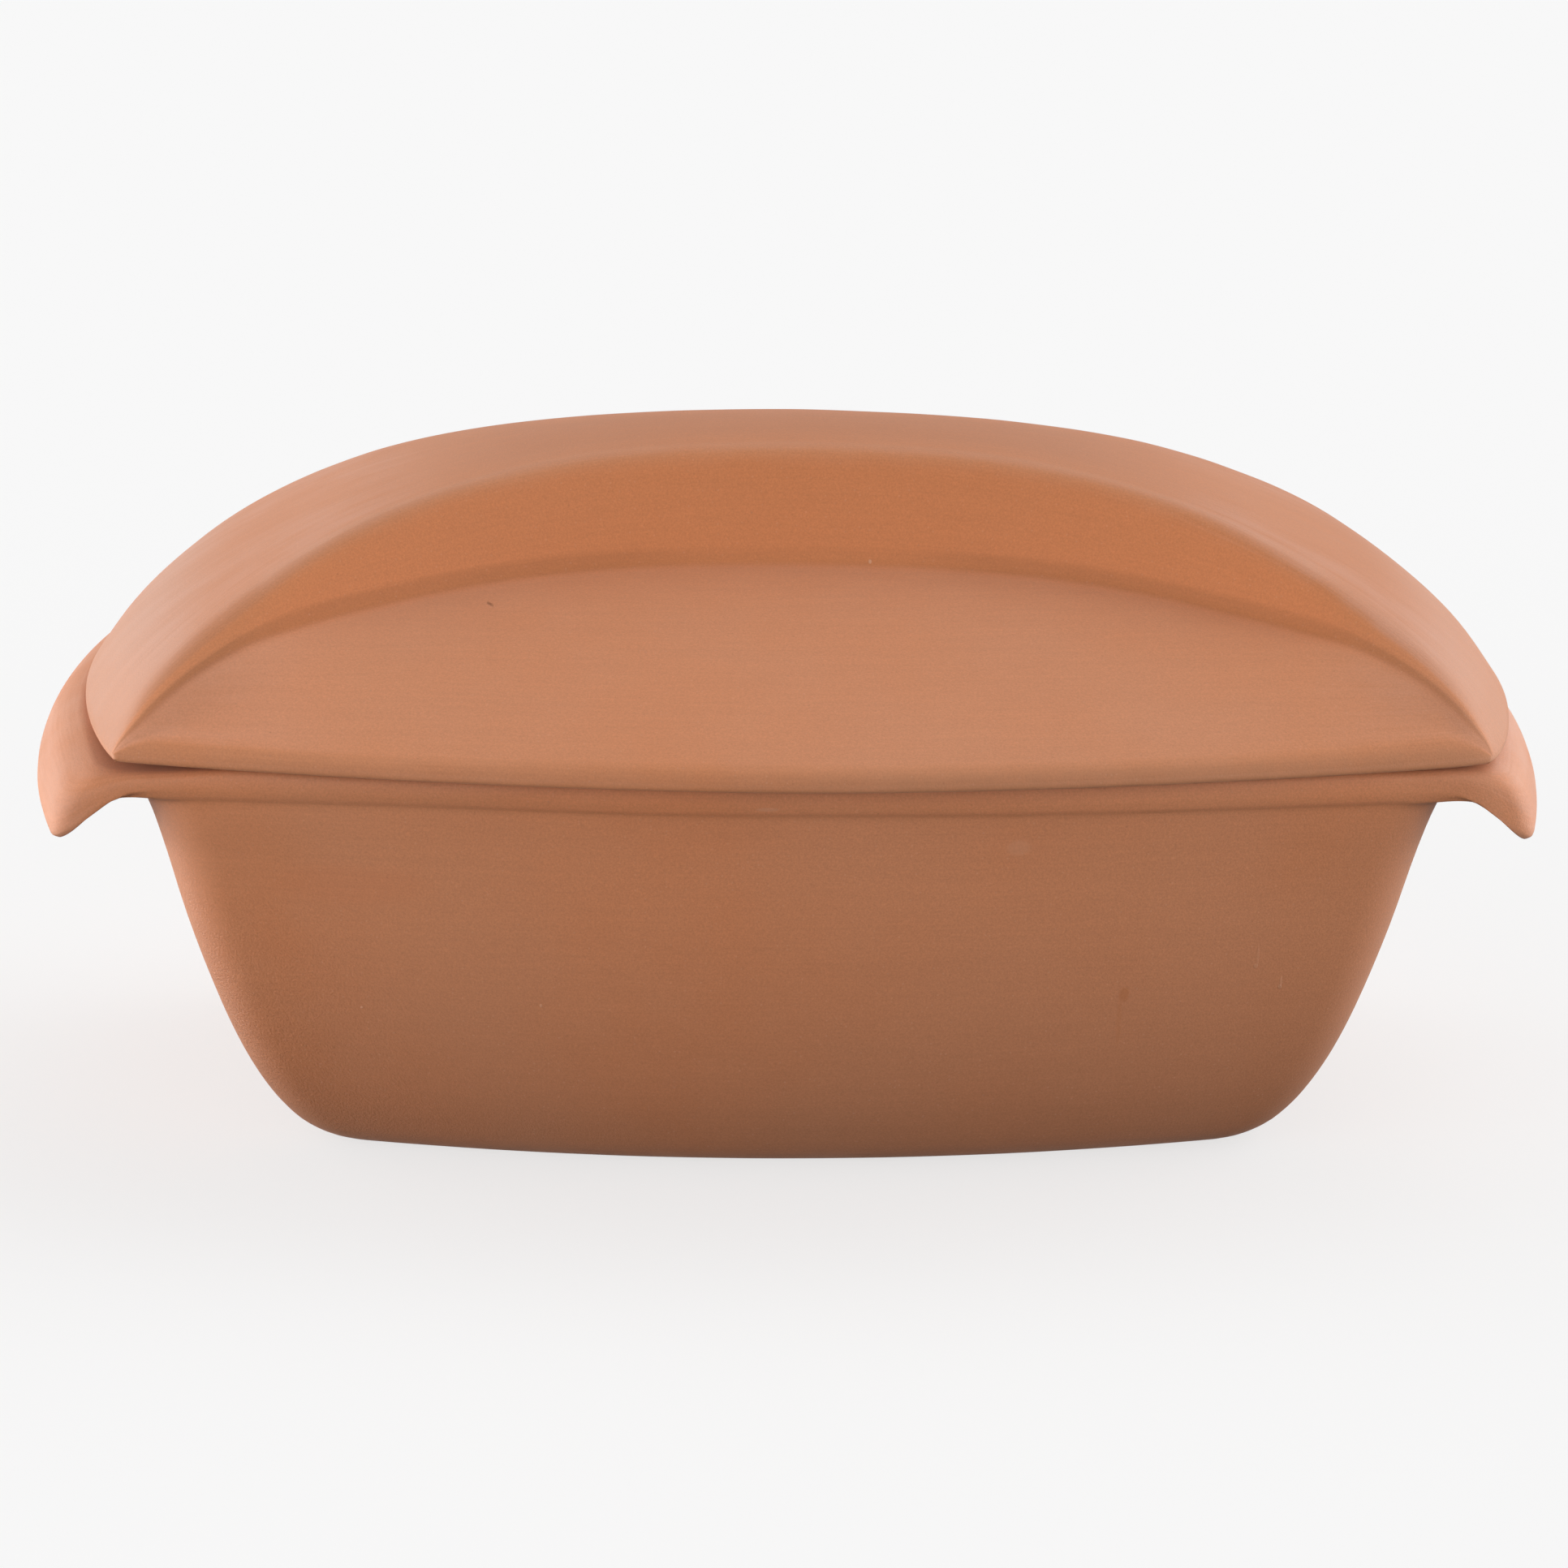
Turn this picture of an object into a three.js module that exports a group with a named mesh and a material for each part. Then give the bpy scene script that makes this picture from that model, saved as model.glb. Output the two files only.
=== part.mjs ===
// Covered clay baker: an oblong dish with a flanged mouth and two turned-down end lips,
// and a vaulted lid with a raised band that runs from end to end and serves as its grip.
// Millimetres, +Z up. Origin: middle of the foot. +X along the length, -Y is the front.

import * as THREE from 'three';
import { LoftGeometry } from 'three/addons/geometries/LoftGeometry.js';
import { mergeGeometries, mergeVertices } from 'three/addons/utils/BufferGeometryUtils.js';

// ---------------------------------------------------------------- driving dimensions

const HALF_LENGTH = 190.0;        // over the two end lips
const FLANGE_TOP = 105.0;         // seat of the lid above the foot
const FOOT_HALF_LENGTH = 114.0;   // flat of the foot
const FOOT_HALF_WIDTH = 74.5;
const FLOOR_TOP = 9.2;            // inside floor of the dish
const WALL = 9.0;                 // wall thickness of the clay
const MOUTH_HALF_LENGTH = 157.8;
const MOUTH_HALF_WIDTH = 97.0;
const FLANGE_HALF_WIDTH = 107.2;  // flange at the middle of the long sides
const FLANGE_BOW = 0.00063;       // the long sides curve outwards: y = b - bow x^2
const LIP_BOW = 0.00143;          // the lips curve outwards: x = a - bow y^2
const LIP_START = 169.0;          // where the flange starts to turn down
const LIP_TIP = 85.6;             // lowest point of the lips

const SEAT_GAP = 0.3;             // lid above the flange
const LID_BOTTOM = FLANGE_TOP + SEAT_GAP;
const LID_SHIFT = 1.9;            // the lid lies this far along +X in its play
const EDGE_HEIGHT = 4.4;          // thickness of the lid's edge bead
const EDGE_BULGE = 0.8;           // how far the bead stands out
const LID_X = 166.6;              // outer corner of the lid
const LID_Y = 91.1;
const LID_SIDE_BOW = 26.8;        // bulge of the long edges beyond the corners
const LID_END_BOW = 13.6;         // bulge of the end edges beyond the corners
const CREST_TOP = 169.6;          // crest of the band at the middle
const BAND_CROWN = 1.6;           // rise of the band between its two crests

const RING_STEPS = [3, 4, 6];     // end, corner and long side of a quarter ring
const LID_STATIONS = 24;
const LID_ROWS = [5, 2, 2, 1, 2, 2, 2];

// Sections of the dish from the foot up the outside, around the flange and its lips, and down
// the inside: [half length, height there, half width, height there, end bow, side bow, corner radius]
const DISH = [
  // foot and outer wall
  [FOOT_HALF_LENGTH, 0.0, FOOT_HALF_WIDTH, 0.0, 0.00176, 0.00127, 15.0],
  [121.6, 1.2, 79.7, 1.2, 0.00175, 0.00126, 15.0],
  [127.6, 4.6, 84.6, 4.6, 0.00173, 0.00123, 15.2],
  [133.4, 10.5, 88.8, 10.5, 0.0017, 0.00119, 15.5],
  [138.2, 17.5, 92.3, 17.5, 0.00165, 0.00115, 15.8],
  [142.8, 26.0, 95.2, 26.0, 0.0016, 0.00109, 16.1],
  [147.9, 38.1, 98.1, 38.1, 0.00153, 0.001, 16.6],
  [154.9, 59.4, 101.4, 59.4, 0.0014, 0.00086, 17.5],
  [160.5, 81.0, 103.8, 81.0, 0.00127, 0.00071, 18.5],
  [164.2, 93.0, 105.0, 93.0, 0.0012, FLANGE_BOW, 18.5],
  // underside of the flange, running out to the tip of the lips
  [165.4, 95.2, 105.3, 95.0, 0.0012, FLANGE_BOW, 17.5],
  [168.5, 96.2, 105.7, 96.0, 0.0013, FLANGE_BOW, 16.0],
  [174.0, 96.1, 106.0, 96.4, LIP_BOW, FLANGE_BOW, 14.0],
  [178.1, 95.1, 106.3, 96.7, LIP_BOW, FLANGE_BOW, 12.0],
  [181.7, 93.3, 106.6, 97.1, LIP_BOW, FLANGE_BOW, 10.0],
  [184.7, 90.1, 106.8, 97.6, LIP_BOW, FLANGE_BOW, 9.0],
  [186.8, 87.1, 107.0, 98.3, LIP_BOW, FLANGE_BOW, 9.0],
  [188.2, LIP_TIP, 107.1, 99.2, LIP_BOW, FLANGE_BOW, 9.0],
  [189.5, 85.9, FLANGE_HALF_WIDTH, 100.1, LIP_BOW, FLANGE_BOW, 9.0],
  [HALF_LENGTH, 87.8, FLANGE_HALF_WIDTH, 101.0, LIP_BOW, FLANGE_BOW, 9.0],
  // outside of the lips and top of the flange
  [189.7, 90.7, 107.0, 102.0, LIP_BOW, FLANGE_BOW, 9.0],
  [188.5, 94.7, 106.6, 103.0, LIP_BOW, FLANGE_BOW, 9.0],
  [186.7, 98.3, 105.9, 103.9, LIP_BOW, FLANGE_BOW, 9.0],
  [184.3, 101.2, 104.8, 104.6, LIP_BOW, FLANGE_BOW, 9.0],
  [181.2, 103.5, 103.5, 104.93, LIP_BOW, FLANGE_BOW, 9.5],
  [177.6, FLANGE_TOP, 102.1, FLANGE_TOP, LIP_BOW, FLANGE_BOW, 10.0],
  // mouth and inside
  [MOUTH_HALF_LENGTH + 2.7, FLANGE_TOP, MOUTH_HALF_WIDTH + 2.3, FLANGE_TOP, 0.0012, FLANGE_BOW, 14.0],
  [MOUTH_HALF_LENGTH + 0.8, 104.3, MOUTH_HALF_WIDTH + 0.7, 104.3, 0.0012, FLANGE_BOW, 13.0],
  [MOUTH_HALF_LENGTH, 102.4, MOUTH_HALF_WIDTH, 102.4, 0.0012, FLANGE_BOW, 12.5],
  [161.4 - WALL, 85.0, 95.5, 85.0, 0.00127, 0.0007, 12.5],
  [155.6 - WALL, 62.0, 92.9, 62.0, 0.0014, 0.00086, 13.0],
  [148.6 - WALL, 40.5, 89.6, 40.5, 0.00153, 0.001, 14.0],
  [143.6 - WALL, 29.5, 86.7, 29.5, 0.0016, 0.00109, 15.0],
  [138.4 - WALL, 21.5, 83.2, 21.5, 0.00165, 0.00115, 16.0],
  [131.3 - WALL, 14.8, 78.2, 14.8, 0.0017, 0.00119, 17.0],
  [113.5, 10.8, 71.9, 10.8, 0.00173, 0.00123, 17.0],
  [102.0, FLOOR_TOP, 64.0, FLOOR_TOP, 0.00176, 0.00127, 17.0],
];

// Lid sections, at fractions of the way from the middle to the end: the crest of the band
// (half width and height) and the foot of the recess wall (height), outside and inside.
const STATION = [0, 0.14, 0.277, 0.4, 0.5, 0.6, 0.674, 0.76, 0.829, 0.89, 0.937, 0.975, 1];
const EDGE_TOP = LID_BOTTOM + EDGE_HEIGHT;
const OUTSIDE = {
  x: LID_X, y: LID_Y, sideBow: LID_SIDE_BOW, endBow: LID_END_BOW, edge: EDGE_TOP, crown: BAND_CROWN,
  crestY: [26.9, 27.5, 29.6, 34.6, 40.6, 48.7, 56.0, 65.8, 73.9, 80.3, 84.3, 86.7, 88.0],
  crestZ: [CREST_TOP, 168.95, 167.2, 164.0, 160.1, 154.6, 149.3, 142.2, 135.5, 128.3, 121.6, 115.0, EDGE_TOP],
  panelZ: [142.2, 141.9, 140.8, 139.3, 137.3, 134.9, 133.2, 130.6, 127.2, 122.9, 118.2, 113.5, EDGE_TOP],
  wallRun: [8.0, 1.6], panelBulge: 0.3, footRound: 5.0, crestRound: 4.2,
};
const INSIDE_EDGE = LID_BOTTOM + 0.8;
const INSIDE = {
  x: LID_X - 9.2, y: LID_Y - 8.4, sideBow: LID_SIDE_BOW - 0.5, endBow: LID_END_BOW - 0.4, edge: INSIDE_EDGE, crown: 1.2,
  crestY: [19.1, 19.7, 21.8, 26.8, 32.8, 40.9, 48.2, 57.8, 65.8, 72.2, 76.2, 78.6, 79.8],
  crestZ: [161.0, 160.4, 158.6, 155.4, 151.4, 145.8, 140.3, 132.9, 125.8, 118.4, 112.8, 108.6, INSIDE_EDGE],
  panelZ: [133.8, 133.5, 132.4, 130.9, 128.9, 126.4, 124.6, 121.8, 118.2, 113.8, 110.2, 107.6, INSIDE_EDGE],
  wallRun: [9.0, 1.6], panelBulge: 0.3, footRound: 6.0, crestRound: 5.0,
};
// Edge of the lid from the inside corner, across the flat seat, to the outer bead: [offset, height]
const SEAT_INNER = [[0.25, 0.25], [0.75, 0.0]];
const SEAT_OUTER = [[-1.2, 0.0], [0.15, 0.45], [EDGE_BULGE, 1.9], [0.45, 3.6]];

// ---------------------------------------------------------------- curves

// Smooth curve through points that never overshoots them.
function curve(xs, ys, x) {
  const n = xs.length;
  const h = [], d = [], m = new Array(n).fill(0);
  for (let i = 0; i < n - 1; i++) { h.push(xs[i + 1] - xs[i]); d.push((ys[i + 1] - ys[i]) / h[i]); }
  for (let i = 1; i < n - 1; i++) {
    if (d[i - 1] * d[i] > 0) {
      const w1 = 2 * h[i] + h[i - 1], w2 = h[i] + 2 * h[i - 1];
      m[i] = (w1 + w2) / (w1 / d[i - 1] + w2 / d[i]);
    }
  }
  const end = (h0, h1, d0, d1) => {
    const v = ((2 * h0 + h1) * d0 - h0 * d1) / (h0 + h1);
    if (v * d0 <= 0) return 0;
    if (d0 * d1 <= 0 && Math.abs(v) > 3 * Math.abs(d0)) return 3 * d0;
    return v;
  };
  m[0] = end(h[0], h[1], d[0], d[1]);
  m[n - 1] = end(h[n - 2], h[n - 3], d[n - 2], d[n - 3]);
  let i = 0;
  while (i < n - 2 && x >= xs[i + 1]) i++;
  const t = (x - xs[i]) / h[i], u = 1 - t;
  return (1 + 2 * t) * u * u * ys[i] + t * u * u * h[i] * m[i]
    + t * t * (3 - 2 * t) * ys[i + 1] + t * t * (t - 1) * h[i] * m[i + 1];
}

function lookup(xs, ys, x) {
  if (x <= xs[0]) return ys[0];
  const n = xs.length;
  if (x >= xs[n - 1]) return ys[n - 1];
  let lo = 0, hi = n - 1;
  while (hi - lo > 1) { const k = (lo + hi) >> 1; if (xs[k] <= x) lo = k; else hi = k; }
  return ys[lo] + (ys[hi] - ys[lo]) * (x - xs[lo]) / (xs[hi] - xs[lo]);
}

function lengths(points) {
  const d = [0];
  for (let i = 1; i < points.length; i++) {
    d.push(d[i - 1] + Math.hypot(points[i][0] - points[i - 1][0], points[i][1] - points[i - 1][1]));
  }
  return d;
}

// Rounds the corners of a path by averaging it over a window of half width w[i] along its length.
function soften(points, w) {
  const d = lengths(points), total = d[d.length - 1];
  const sums = [0, 1].map((c) => {
    const s = [0];
    for (let i = 1; i < points.length; i++) s.push(s[i - 1] + (d[i] - d[i - 1]) * (points[i][c] + points[i - 1][c]) / 2);
    return s;
  });
  return points.map((p, i) => {
    const r = Math.min(d[i], total - d[i], w[i]) + 1e-6;
    const hi = Math.min(d[i] + r, total), lo = Math.max(d[i] - r, 0);
    return sums.map((s) => (lookup(d, s, hi) - lookup(d, s, lo)) / (hi - lo));
  });
}

// ---------------------------------------------------------------- dish

// A quarter of an oblong outline with bowed sides and rounded corners, from the end to the long side.
function quarter(a, endBow, b, sideBow, r) {
  let y = b - r, x = a - r;
  for (let k = 0; k < 60; k++) {
    const l1 = Math.hypot(1, 2 * endBow * y), l2 = Math.hypot(2 * sideBow * x, 1);
    x = a - endBow * y * y - r / l1 + r * 2 * sideBow * x / l2;
    y = b - sideBow * x * x - r / l2 + r * 2 * endBow * y / l1;
  }
  const g1 = Math.atan2(2 * endBow * y, 1), g2 = Math.atan2(1, 2 * sideBow * x);
  const cx = a - endBow * y * y - r * Math.cos(g1), cy = y - r * Math.sin(g1);
  const [nEnd, nArc, nSide] = RING_STEPS;
  const out = [];
  for (let k = 0; k <= nEnd; k++) { const v = y * k / nEnd; out.push([a - endBow * v * v, v]); }
  for (let k = 1; k <= nArc; k++) { const g = g1 + (g2 - g1) * k / nArc; out.push([cx + r * Math.cos(g), cy + r * Math.sin(g)]); }
  for (let k = 1; k <= nSide; k++) { const u = x * (1 - k / nSide); out.push([u, b - sideBow * u * u]); }
  return out;
}

function dishRing([a, zEnd, b, zSide, endBow, sideBow, r]) {
  const lip = a > LIP_START + 0.1;
  const q = quarter(a, endBow, b, sideBow, r).map(([x, y]) => {
    let z = (zEnd + zSide) / 2;
    if (lip) {
      const t = Math.min(Math.max((x + endBow * y * y - LIP_START) / (a - LIP_START), 0), 1);
      z = zSide + (zEnd - zSide) * Math.pow(t, 1.7);
    }
    return new THREE.Vector3(x, y, z);
  });
  const n = q.length - 1;
  const ring = [...q];
  for (let k = n - 1; k >= 0; k--) ring.push(new THREE.Vector3(-q[k].x, q[k].y, q[k].z));
  for (let k = 1; k <= n; k++) ring.push(new THREE.Vector3(-q[k].x, -q[k].y, q[k].z));
  for (let k = n - 1; k >= 1; k--) ring.push(new THREE.Vector3(q[k].x, -q[k].y, q[k].z));
  return ring;
}

function dishGeometry() {
  const rings = DISH.map(dishRing);
  const last = rings[rings.length - 1];
  const floor = new THREE.ShapeGeometry(new THREE.Shape(last.map((p) => new THREE.Vector2(p.x, p.y))));
  floor.translate(0, 0, FLOOR_TOP);
  return closedBody(mergeGeometries([new LoftGeometry(rings, { capStart: true }), floor]));
}

// ---------------------------------------------------------------- lid

const endReach = (s, y) => s.x + s.endBow * (1 - (y / s.y) ** 2);

function sideReach(s, f) {
  let y = s.y;
  for (let k = 0; k < 80; k++) y = 0.5 * y + 0.5 * (s.y + s.sideBow * (1 - (f * endReach(s, y) / s.x) ** 2));
  return y;
}

// Half a cross section from the long edge, up the panel and the recess wall, over the crest to the middle of the band.
function halfSection(s, f) {
  const yC = curve(STATION, s.crestY, f), zC = curve(STATION, s.crestZ, f), zP = curve(STATION, s.panelZ, f);
  const yE = sideReach(s, f);
  const yP = Math.min(yC + s.wallRun[0] * (1 - f * f) + s.wallRun[1] * f * f, yE - 0.6);
  const path = [];
  for (let k = 0; k <= 120; k++) {
    const t = k / 120;
    path.push([yE + (yP - yE) * t, s.edge + (zP - s.edge) * (t + s.panelBulge * t * (1 - t))]);
  }
  for (let k = 1; k <= 60; k++) path.push([yP + (yC - yP) * k / 60, zP + (zC - zP) * k / 60]);
  for (let k = 1; k <= 160; k++) {
    const y = yC * (1 - k / 80);
    path.push([y, zC + s.crown * (1 - f * f) * (1 - (y / yC) ** 2)]);
  }
  const d = lengths(path);
  const dP = d[120], dC = d[180], dM = d[260], mid = (dP + dC) / 2;
  const w = d.map((v) => Math.min(v < mid ? s.footRound : s.crestRound, 0.9 * (dC - dP) + 0.4));
  const soft = soften(soften(path, w.map((v) => 0.75 * v)), w.map((v) => 0.55 * v));
  const marks = [0, Math.max(dP - 1.9 * s.footRound, 0.55 * dP), dP, Math.min(dP + 1.9 * s.footRound, mid - 0.02),
    Math.max(dC - 1.9 * s.crestRound, mid + 0.02), dC, Math.min(dC + 1.9 * s.crestRound, dC + 0.5 * (dM - dC)), dM];
  const at = [0];
  LID_ROWS.forEach((n, i) => { for (let k = 1; k <= n; k++) at.push(marks[i] + (marks[i + 1] - marks[i]) * k / n); });
  const ys = soft.map((p) => p[0]), zs = soft.map((p) => p[1]);
  const out = at.map((v) => [lookup(d, ys, v), lookup(d, zs, v)]);
  out[out.length - 1][0] = 0;
  return out;
}

// Sections of one face of the lid from the -X end to the +X end, each from the front edge to the back edge.
function lidSections(s) {
  const sections = [];
  for (let i = 0; i <= LID_STATIONS; i++) {
    const t = -1 + 2 * i / LID_STATIONS;
    const f = 0.45 * t + 0.55 * Math.sin(Math.PI / 2 * t);
    const half = halfSection(s, Math.abs(f));
    const yEdge = half[0][0];
    const full = [...half.map(([y, z]) => [-y, z]), ...half.slice(0, -1).reverse()];
    sections.push(full.map(([y, z]) => {
      const pull = Math.abs(f) ** 40 * (Math.abs(y) / yEdge) ** 16;
      return new THREE.Vector3(f * endReach(s, y) * (1 - 0.0075 * pull), y * (1 - 0.008 * pull), z);
    }));
  }
  return sections;
}

// Edge of a lid face as one loop, counter-clockwise seen from above.
function edgeLoop(sections) {
  const n = sections.length - 1, m = sections[0].length - 1;
  const loop = [];
  for (let i = 0; i < n; i++) loop.push(sections[i][0]);
  for (let j = 0; j < m; j++) loop.push(sections[n][j]);
  for (let i = n; i > 0; i--) loop.push(sections[i][m]);
  for (let j = m; j > 0; j--) loop.push(sections[0][j]);
  return loop;
}

function offsetLoop(loop, offset, z) {
  const n = loop.length;
  return loop.map((p, k) => {
    const a = loop[(k + n - 1) % n], b = loop[(k + 1) % n];
    const l = Math.hypot(b.x - a.x, b.y - a.y);
    return new THREE.Vector3(p.x + offset * (b.y - a.y) / l, p.y - offset * (b.x - a.x) / l, z);
  });
}

function lidGeometry() {
  const outside = lidSections(OUTSIDE), inside = lidSections(INSIDE);
  const outerLoop = edgeLoop(outside), innerLoop = edgeLoop(inside);
  const rim = [
    innerLoop,
    ...SEAT_INNER.map(([o, z]) => offsetLoop(innerLoop, o, LID_BOTTOM + z)),
    ...SEAT_OUTER.map(([o, z]) => offsetLoop(outerLoop, o, LID_BOTTOM + z)),
    outerLoop,
  ];
  return closedBody(mergeGeometries([
    new LoftGeometry(outside.map((section) => [...section].reverse()), { closed: false }),
    new LoftGeometry(inside, { closed: false }),
    new LoftGeometry(rim),
  ]));
}

// One closed skin: vertices that lie on each other become one.
function closedBody(geometry) {
  const skin = new THREE.BufferGeometry();
  skin.setAttribute('position', geometry.getAttribute('position'));
  skin.setIndex(geometry.getIndex());
  const merged = mergeVertices(skin, 1e-3);
  merged.computeVertexNormals();
  return merged;
}

// ---------------------------------------------------------------- assembly

const baker = new THREE.Group();

const dish = new THREE.Mesh(dishGeometry(), new THREE.MeshStandardMaterial({ color: 0xbe8262, roughness: 0.92, metalness: 0 }));
dish.name = 'base_dish';
baker.add(dish);

const lid = new THREE.Mesh(lidGeometry(), new THREE.MeshStandardMaterial({ color: 0xc4876a, roughness: 0.92, metalness: 0 }));
lid.name = 'lid';
lid.position.set(LID_SHIFT, 0, 0);
baker.add(lid);

export default baker;
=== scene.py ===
import math

import bpy
import numpy as np
from mathutils import Matrix, Vector, noise


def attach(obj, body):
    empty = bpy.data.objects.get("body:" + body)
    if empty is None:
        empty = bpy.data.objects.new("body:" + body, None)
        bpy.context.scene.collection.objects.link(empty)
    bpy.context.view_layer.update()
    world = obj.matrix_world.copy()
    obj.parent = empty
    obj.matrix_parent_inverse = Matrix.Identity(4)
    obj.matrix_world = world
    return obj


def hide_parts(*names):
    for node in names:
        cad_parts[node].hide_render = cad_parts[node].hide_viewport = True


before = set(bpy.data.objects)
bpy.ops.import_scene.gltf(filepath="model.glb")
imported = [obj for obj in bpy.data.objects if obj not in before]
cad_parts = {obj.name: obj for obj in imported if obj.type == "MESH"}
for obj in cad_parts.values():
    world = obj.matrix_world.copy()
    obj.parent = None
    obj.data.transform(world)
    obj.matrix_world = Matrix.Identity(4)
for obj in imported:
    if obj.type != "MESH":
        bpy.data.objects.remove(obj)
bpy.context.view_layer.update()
scene = bpy.context.scene

# ------------------------------------------------------------------ camera
# Image 1932 x 1932, long lens a little above the rim and a little to the left of the middle.
ELEVATION, AZIMUTH, ROLL = (math.radians(v) for v in (15.023, -2.195, 0.682))
DISTANCE, PIXELS_PER_MM = 1300.0, 4.7561
TARGET = (0.085, 0.0, 75.778)

back = Vector((math.sin(AZIMUTH) * math.cos(ELEVATION), -math.cos(AZIMUTH) * math.cos(ELEVATION), math.sin(ELEVATION)))
side = Vector((math.cos(AZIMUTH), math.sin(AZIMUTH), 0.0))
over = back.cross(side)
right = side * math.cos(ROLL) + over * math.sin(ROLL)
up = over * math.cos(ROLL) - side * math.sin(ROLL)
place = Vector(TARGET) / 1000 + back * DISTANCE / 1000

lens = bpy.data.cameras.new("camera")
lens.sensor_width = 36.0
lens.lens = PIXELS_PER_MM * DISTANCE * 36.0 / 1932
lens.clip_start, lens.clip_end = 0.05, 60.0
camera = bpy.data.objects.new("camera", lens)
scene.collection.objects.link(camera)
camera.matrix_world = Matrix((
    (right.x, up.x, back.x, place.x),
    (right.y, up.y, back.y, place.y),
    (right.z, up.z, back.z, place.z),
    (0, 0, 0, 1)))
scene.camera = camera


# ------------------------------------------------------------------ curves
def curve(xs, ys, x):
    """Smooth curve through points that never overshoots them."""
    xs, ys, x = (np.asarray(v, float) for v in (xs, ys, x))
    h = np.diff(xs)
    d = np.diff(ys) / h
    m = np.zeros(len(xs))
    for i in range(1, len(xs) - 1):
        if d[i - 1] * d[i] > 0:
            w1, w2 = 2 * h[i] + h[i - 1], h[i] + 2 * h[i - 1]
            m[i] = (w1 + w2) / (w1 / d[i - 1] + w2 / d[i])

    def end(h0, h1, d0, d1):
        v = ((2 * h0 + h1) * d0 - h0 * d1) / (h0 + h1)
        if v * d0 <= 0:
            return 0.0
        if d0 * d1 <= 0 and abs(v) > 3 * abs(d0):
            return 3 * d0
        return v

    m[0] = end(h[0], h[1], d[0], d[1])
    m[-1] = end(h[-1], h[-2], d[-1], d[-2])
    i = np.clip(np.searchsorted(xs, x, side="right") - 1, 0, len(xs) - 2)
    t = (x - xs[i]) / h[i]
    u = 1 - t
    return ((1 + 2 * t) * u * u * ys[i] + t * u * u * h[i] * m[i]
            + t * t * (3 - 2 * t) * ys[i + 1] + t * t * (t - 1) * h[i] * m[i + 1])


def along(p):
    return np.r_[0, np.cumsum(np.linalg.norm(np.diff(p, axis=0), axis=1))]


def smoothstep(lo, hi, x):
    t = np.clip((np.asarray(x, float) - lo) / (hi - lo), 0, 1)
    return t * t * (3 - 2 * t)


# ------------------------------------------------------------------ dish
FLANGE_TOP, FLOOR_TOP, LIP_START = 105.0, 9.2, 169.0
FLANGE_BOW, LIP_BOW = 0.00063, 0.00143
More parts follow.
